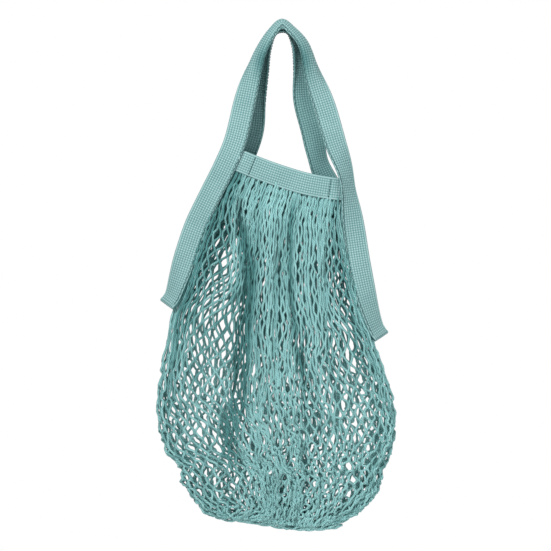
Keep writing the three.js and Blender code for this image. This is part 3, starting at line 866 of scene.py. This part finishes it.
def scallop_edges(grid):
    """Makes the outline of the net uneven, in the same way on the two sides, which meet along it."""
    rng = np.random.default_rng(5)
    scallop = rng.uniform(*SCALLOPS, (len(grid), 2))
    scallop[:FOOT_ROW + 1] *= UPPER_SCALLOPS
    grid[1:-1, 0, 0] -= scallop[1:-1, 0]
    grid[1:-1, -1, 0] += scallop[1:-1, 1]
    grid[1:-1, [0, -1], 2] += rng.uniform(-SCALLOP_RISE, SCALLOP_RISE, (len(grid) - 2, 2))


# How the junctions stray from even rows: axis, reach, how much further low down, waves down and across,
# and whether the two sides do it together, so that their openings lie over each other.
STRAYS = [
    (0, 1.2, 3.4, (10, 14), False),
    (0, 3.0, 0.0, (5, 28), False),
    (0, 0.0, 4.4, (17, 22), True),
    (2, 0.0, 3.6, (12, 22), True),
    (2, 1.5, 4.5, (9, 14), False),
]
SWELL = 5.0  # how far whole stretches of the net stand out or fall back
GRAIN = (1.0, 0.8, 1.2)  # how far each junction strays on its own


def net_junctions(side):
    """Where the net's cords meet once it has settled, and how much painted shade each of those places gets,
    for its folds and where it falls back.
    """
    own = np.random.default_rng(7 if side == FRONT else 19)
    shared = np.random.default_rng(23)
    grid, shade = net_surface(side)
    scallop_edges(grid)
    rows, count = grid.shape[:2]
    inside = np.minimum(1, np.minimum(np.arange(count), np.arange(count)[::-1]) / 4)[None, :]
    fade = (np.sin(np.linspace(0, np.pi, rows)) ** 0.35)[:, None] * inside
    lower = smooth_step(np.linspace(0, 1, rows), 0.35, 0.75)[:, None]
    for axis, reach, more, cells, together in STRAYS:
        wave = waves(shared if together else own, (rows, count), cells)
        grid[..., axis] += (reach + more * lower) * wave * fade
    swell = waves(own, (rows, count), (5, 30)) * fade
    grid[..., 1] += side * SWELL * swell
    # Painted shade on the front net where it falls back.
    shade = np.clip(shade + (0.75 - 0.65 * lower) * np.clip(-swell, 0, 1) * (side == FRONT), 0, 1)
    grain = (0.38 + 0.9 * lower)[..., None]
    grid += own.normal(0, 1.0, grid.shape) * GRAIN * grain * fade[..., None]
    return relax(grid, side), shade


def relax(target, side):
    """Lets the net settle: cords keep their length, and junctions push each other apart."""
    p = target.copy()
    rows, count = p.shape[:2]
    free = np.ones((rows, count, 1))
    free[0] = free[-1] = 0
    free[:, 0] = free[:, -1] = 0
    used = ((np.arange(rows)[:, None] + np.arange(count)[None, :]) % 2 == 0)[..., None]
    deepest = half_depth(target[..., 2]) + DEEPEST_PLEAT
    rest = {}
    for shift in (1, -1):
        a, b = pairs(p.shape, 1, shift)
        rest[shift] = np.minimum(CORD_SEGMENT, SPAN_GROWTH * size_of(p[b] - p[a]))
    for _ in range(SETTLING_STEPS):
        p += free * (target - p) * SHAPE_HOLD
        for shift in (1, -1):
            pull_together(p, free, used, shift, rest[shift])
        for down, across in CROWDING:
            push_apart(p, free, used, down, across)
        depth = np.clip(side * p[..., 1], LEAST_DEPTH, deepest)
        p[..., 1] = np.where(free[..., 0] > 0, side * depth, p[..., 1])
    return p


def pairs(shape, down, across):
    """The two blocks of a grid whose points are down rows and across columns apart."""
    rows, count = shape[:2]
    first = (slice(0, rows - down), slice(max(0, -across), count - max(0, across)))
    second = (slice(down, rows), slice(max(0, across), count - max(0, -across)))
    return first, second


def pull_together(p, free, used, across, rest):
    """Brings junctions that a cord joins towards the cord's own length apart."""
    a, b = pairs(p.shape, 1, across)
    d = p[b] - p[a]
    size = np.maximum(size_of(d), 1e-6)
    stiffness = np.where(size > rest, TAUT_PULL, SLACK_PUSH)
    move = stiffness * (size - rest) * d / size * used[a]
    p[a] += move * free[a]
    p[b] -= move * free[b]


def push_apart(p, free, used, down, across):
    """Keeps the junctions of neighbouring cords from lying in one another."""
    a, b = pairs(p.shape, down, across)
    d = p[b] - p[a]
    size = np.maximum(size_of(d), 1e-6)
    lowness = smooth_step(np.arange(len(p)), FOOT_ROW - 4, FOOT_ROW + 12)[a[0], None, None]
    gap = np.interp(lowness, (0, 1), JUNCTION_GAPS)
    move = CROWD_PUSH * np.maximum(gap - size, 0) * d / size * used[a]
    p[a] -= move * free[a]
    p[b] += move * free[b]


def net_cords(junctions, seed):
    """The zigzag cords of the net: each touches its two neighbours in turn, and bows where it is slack."""
    rng = np.random.default_rng(seed)
    rows = np.arange(NET_ROWS + 1)
    count = junctions.shape[1]
    cords = []
    for k in range(count - 1):
        columns = k + (rows + k) % 2
        line = junctions[rows, columns].copy()
        towards = np.where(columns == k, 1.0, -1.0)
        left, right = (junctions[rows, np.clip(columns + step, 0, count - 1)] for step in (-2, 2))
        beside = unit((right - left) * [1, 0.5, 0.3] + [0.5, 0, 0])
        line += beside * (towards * JUNCTION_OFFSET)[:, None]
        line[:, 1] += CORD_CROSSING * towards * np.where((rows + k) // 2 % 2 == 0, 1, -1)
        drift = rng.uniform(-1, 1, (2, DRIFT_SPOTS))
        spots = np.linspace(0, NET_ROWS, DRIFT_SPOTS) + rng.uniform(-1.5, 1.5)
        held = min(1, min(k, count - 2 - k) / 3)
        for axis in (0, 1):
            line[:, axis] += CORD_DRIFT[axis] * held * np.interp(rows, spots, drift[axis])
        middle = (line[1:] + line[:-1]) / 2
        size = size_of(line[1:] - line[:-1])
        slack = np.sqrt(np.clip(CORD_SEGMENT - size, 0, 4) * size * 0.3)
        low = smooth_step(rows[1:], *LOW_ROWS)[:, None]
        bow = rng.normal(0, 1, middle.shape) * CORD_BOW
        middle += bow * (0.5 + (0.32 + 0.6 * low) * slack)
        run = np.interp(smooth_step(rows, *LOW_ROWS), (0, 1), JUNCTION_RUNS)
        whole = np.empty((3 * len(rows) - 1, 3))
        downwards = unit(np.gradient(line, axis=0)) * run[:, None]
        whole[0::3] = line - downwards
        whole[1::3] = line + downwards
        whole[2::3] = middle
        cords.append(whole)
    return cords


def inward_shade(net, side):
    """The painted shade that each point of the net's cords gets for facing into the bag, one row for each
    ring.
    """
    points = np.empty(3 * len(net.data.vertices), np.float32)
    net.data.vertices.foreach_get("co", points)
    rings = points.reshape(-1, CORD_SIDES, 3)
    outward = side * unit(rings - rings.mean(axis=1, keepdims=True))[..., 1]
    return INSIDE_SHADE * smooth_step(-outward, -0.3, 0.5)


def add_net(side, name):
    """The net of one side: the part down to the slits' feet, and the part below them."""
    junctions, shade = net_junctions(side)
    cords = net_cords(junctions, seed=31 + side)
    lines = [smooth_line(cord, RINGS_PER_ROW // 3) for cord in cords]
    middle_ring = RINGS_PER_ROW // 6  # the ring that lies in the middle of a cord's first junction
    rows = (np.arange(len(lines[0])) - middle_ring) / RINGS_PER_ROW
    knot = 0.5 + 0.5 * np.cos(2 * np.pi * rows)
    radius = CORD_RADIUS * (THIN_SHARE + JUNCTION_SWELL * knot)
    tones_and_bunch_shade = np.random.default_rng(41).uniform(0, CORD_TONES, len(lines))
    # Painted shade on every second cord of the two bunches along the outlines, as if its neighbours shaded
    # it.
    tones_and_bunch_shade[1:BUNCH_CORDS[0]:2] += BUNCH_SHADE
    tones_and_bunch_shade[-BUNCH_CORDS[1]::2] += BUNCH_SHADE
    shades_and_tones = [np.interp(rows, np.arange(NET_ROWS + 1), shade[:, k]) + tones_and_bunch_shade[k] for k in range(len(lines))]
    foot_ring = FOOT_ROW * RINGS_PER_ROW + middle_ring
    for part, keep in (("upper", slice(0, foot_ring + 1)), ("pouch", slice(foot_ring, None))):
        part_lines = [line[keep] for line in lines]
        net = tubes_mesh(f"{name}_{part}_netting", part_lines, radius[keep], CORD_SIDES, CORD,
                         PLY_PITCH)
        # Painted shade of the folds, the bunches and, less low down, the faces turned into the bag, with the
        # cords' own random tones.
        along = np.concatenate([fold[keep] for fold in shades_and_tones])
        fade = np.tile(1 - INSIDE_FADE * smooth_step(rows[keep], *LOW_ROWS), len(lines))
        add_painted_shade_and_tone(net, np.clip(along[:, None] + fade[:, None] * inward_shade(net, side), 0, 1))
        mouth_blend(net, name)
        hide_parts(f"{name}_{part}_net")


# ---- the tapes and bands of one side ----


def add_tapes(side, name):
    """The handle and the two slit tapes, which are lengths of one tape, and their stitching."""
    tape = Tape([(x, side * depth, z) for x, depth, z in ROUTES[side]], side)
    index = np.arange(len(tape.s))
    above = index[above_fold(tape, name)]
    first, last = above[0], above[-1]
    for part, edge, keep, blend in (("handle", "", index[first:last + 1], handle_blend),
                                    ("left_slit", "_edge", index[:first + 1], mouth_blend),
                                    ("right_slit", "_edge", index[last:], mouth_blend)):
        piece = tape_piece(f"{name}_{part}{edge}", tape, keep)
        blend(piece, name)
        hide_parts(f"{name}_{part}_tape")
        stitching = stitch_row(f"{name}_{part}_stitches", tape, keep)
        blend(stitching, name)
        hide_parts(f"{name}_{part}_stitching")


def add_band(side, name):
    """The mouth band, and the stitches across its two ends."""
    tape = Tape([(x, side * (BAND_DEPTH - BAND_INSET), z) for x, z in BAND_ROUTES[side]], side, shaped=False)
    band = tape_piece(f"{name}_band", tape, np.arange(len(tape.s)))
    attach(band, f"{name}_side")
    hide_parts(f"{name}_mouth_band")
    for end in ("left", "right"):
        lowest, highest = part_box(f"{name}_{end}_band_stitching")
        middle = np.add(lowest, highest) / 2 / MM
        section = int(np.argmin(np.linalg.norm(tape.centre - middle, axis=1)))
        stitching = cross_stitch_row(f"{name}_{end}_band_stitches", tape, section)
        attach(stitching, f"{name}_side")
        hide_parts(f"{name}_{end}_band_stitching")


# ---- joints ----


def joint_place(name):
    """A joint's place, in metres, and the way up from it across its axis."""
    joint = next(j for j in frame["record"]["behaviour"]["joints"] if j["name"] == name)
    return np.array(joint["pos_m"]), np.array([abs(joint["axis"][2]), 0, abs(joint["axis"][0])])


def mouth_blend(obj, name):
    """Applies a net or slit tape's placement to its mesh; it does not bend it."""
    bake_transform(obj)


def handle_blend(obj, name):
    """Applies a handle's placement to its mesh; it does not bend it."""
    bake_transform(obj)


def above_fold(tape, name):
    """Which of a tape's sections lie above the line where the handle piece starts."""
    place, up = joint_place(f"{name}_handle_fold")
    return (tape.centre - place / MM) @ up >= -(FOLD_BELOW + HANDLE_SPARE)


# ---- the stage ----

VIEW_CENTRE = (-0.0082, 0, -0.3055)  # metres, as all lengths of the stage are
CAMERA_DISTANCE = 1.929
BAG_MIDDLE = (0, 0, -0.3)
WORLD_LIGHT = 0.22  # the room's light, against the white that the camera sees behind the bag
FLOOR_SIZE = 3
FLOOR_HEIGHT = -1.25


def aim(data, location, target):
    """Puts a camera or light in the scene, pointing at the target."""
    obj = bpy.data.objects.new(data.name, data)
    obj.location = location
    obj.rotation_euler = (Vector(target) - obj.location).to_track_quat("-Z", "Y").to_euler()
    bpy.context.scene.collection.objects.link(obj)
    return obj


def add_camera():
    data = bpy.data.cameras.new("camera")
    data.lens = 100
    data.sensor_width = 36
    data.clip_end = 50
    location = (VIEW_CENTRE[0], -CAMERA_DISTANCE, VIEW_CENTRE[2])
    bpy.context.scene.camera = aim(data, location, VIEW_CENTRE)


def add_light(name, location, size, energy):
    data = bpy.data.lights.new(name, "AREA")
    data.shape = "SQUARE"
    data.size = size
    data.energy = energy
    aim(data, location, BAG_MIDDLE)


def add_world():
    """A white background that lights the bag only weakly."""
    world = bpy.data.worlds.new("studio")
    world.use_nodes = True
    tree = world.node_tree
    background = tree.nodes["Background"]
    background.inputs[0].default_value = (1, 1, 1, 1)
    light_path = tree.nodes.new("ShaderNodeLightPath")
    strength = tree.nodes.new("ShaderNodeMapRange")
    strength.inputs["To Min"].default_value = WORLD_LIGHT
    strength.inputs["To Max"].default_value = 1.0
    tree.links.new(light_path.outputs["Is Camera Ray"], strength.inputs["Value"])
    tree.links.new(strength.outputs[0], background.inputs[1])
    bpy.context.scene.world = world
    bpy.context.scene.view_settings.view_transform = "Standard"


def add_floor():
    bpy.ops.mesh.primitive_plane_add(size=FLOOR_SIZE, location=(0, 0, FLOOR_HEIGHT))
    floor = bpy.context.object
    floor.name = "floor"
    n = Nodes("pale_floor")
    colour = n.ramp(n.noise(6.0, 2.0), [(0.3, (0.86, 0.86, 0.86)), (0.7, (0.90, 0.90, 0.90))])
    n.feed(n.bsdf, {"Base Color": colour, "Roughness": 0.8})
    floor.data.materials.append(n.material)


# ---- assembly ----

add_camera()
add_world()
add_light("key", (-0.75, -1.65, 1.25), 0.5, 55)
add_light("fill", (1.0, -1.6, -0.7), 1.0, 14)
add_light("back", (0.9, 1.7, 0.8), 1.0, 36)
add_floor()

for side, name in ((FRONT, "front"), (REAR, "rear")):
    add_tapes(side, name)
    add_band(side, name)
    add_net(side, name)
add_slit_fold("left", LEFT_TAPE_FOOT[0], LEFT_DOWN)
add_slit_fold("right", RIGHT_TAPE_FOOT[-1], RIGHT_DOWN)
add_gathering_seam()
